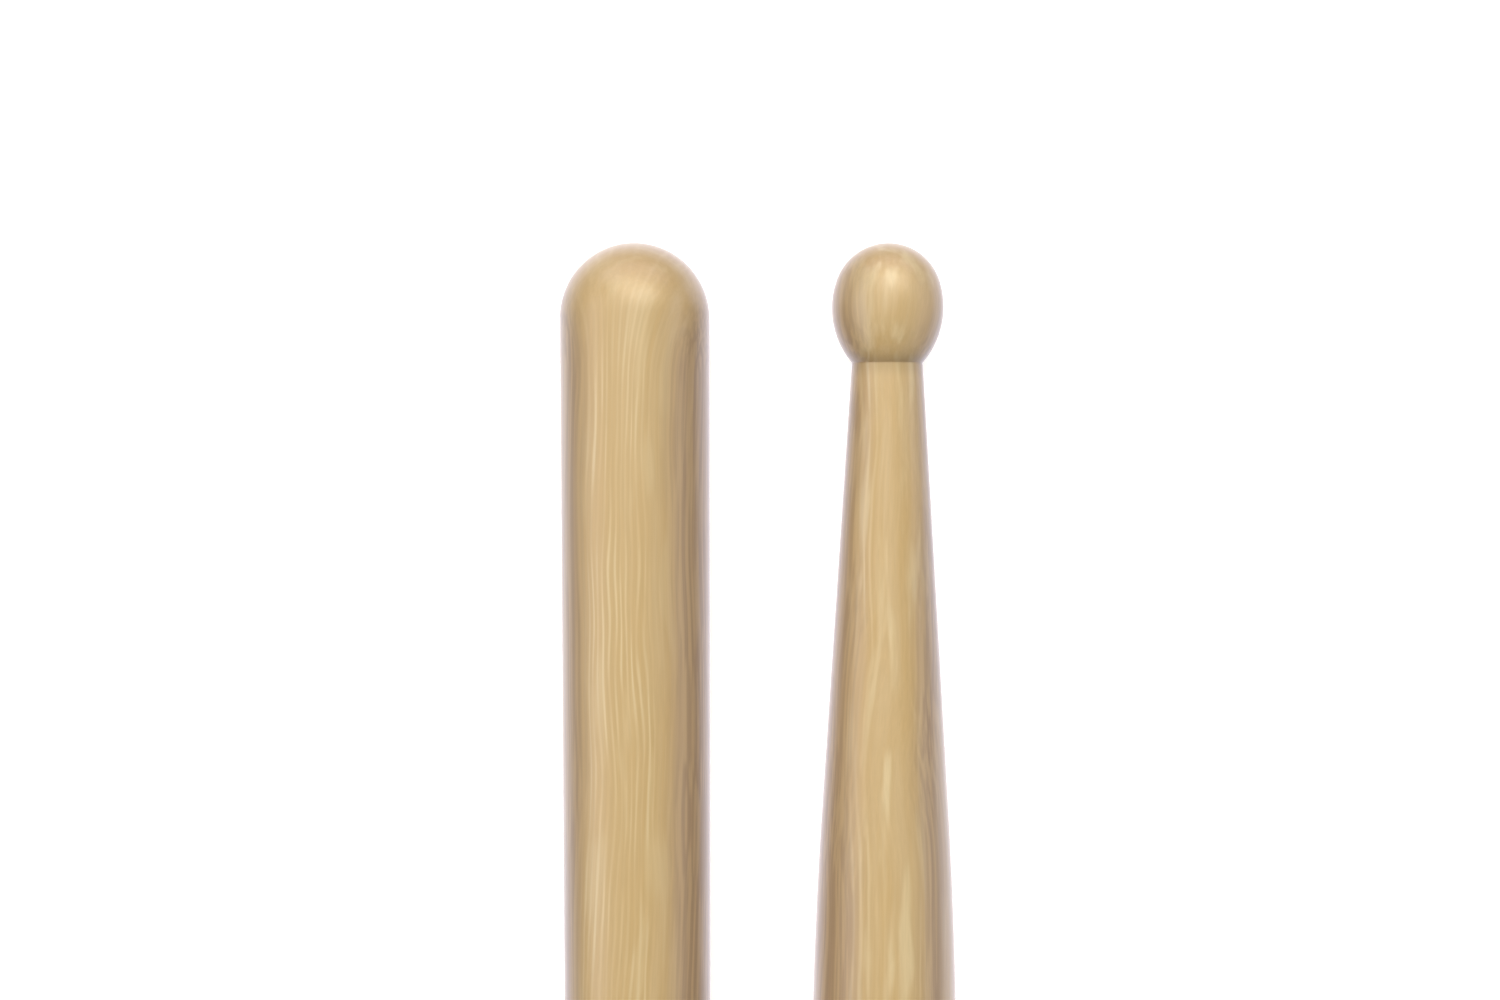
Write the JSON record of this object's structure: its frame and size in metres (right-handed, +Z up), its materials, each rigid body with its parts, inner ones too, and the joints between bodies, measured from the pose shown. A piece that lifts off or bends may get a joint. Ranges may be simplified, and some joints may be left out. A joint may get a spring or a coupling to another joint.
{
  "type": "drumstick pair",
  "caption": "Two turned wooden drumsticks with rounded butts, long tapers and ball tips, lying side by side, head to tail.",
  "frame": {"origin": "on the surface that the sticks lie on, midway between the two sticks and midway along them", "axes": "+X from the left stick to the right one, +Y along both sticks, towards the left stick's butt and the right stick's tip, +Z up"},
  "size_m": [0.0386, 0.4064, 0.0143],
  "materials": {
    "lacquered_wood": "pale straight-grained wood under a clear satin-gloss lacquer"
  },
  "bodies": {
    "left_stick": {"left_stick": "lacquered_wood"},
    "right_stick": {"right_stick": "lacquered_wood"}
  },
  "joints": [
    {"name": "right_stick_lift", "type": "slide", "parent": "left_stick", "child": "right_stick", "axis": [0, 0, 1], "range_m": [0, 0.12]}
  ]
}
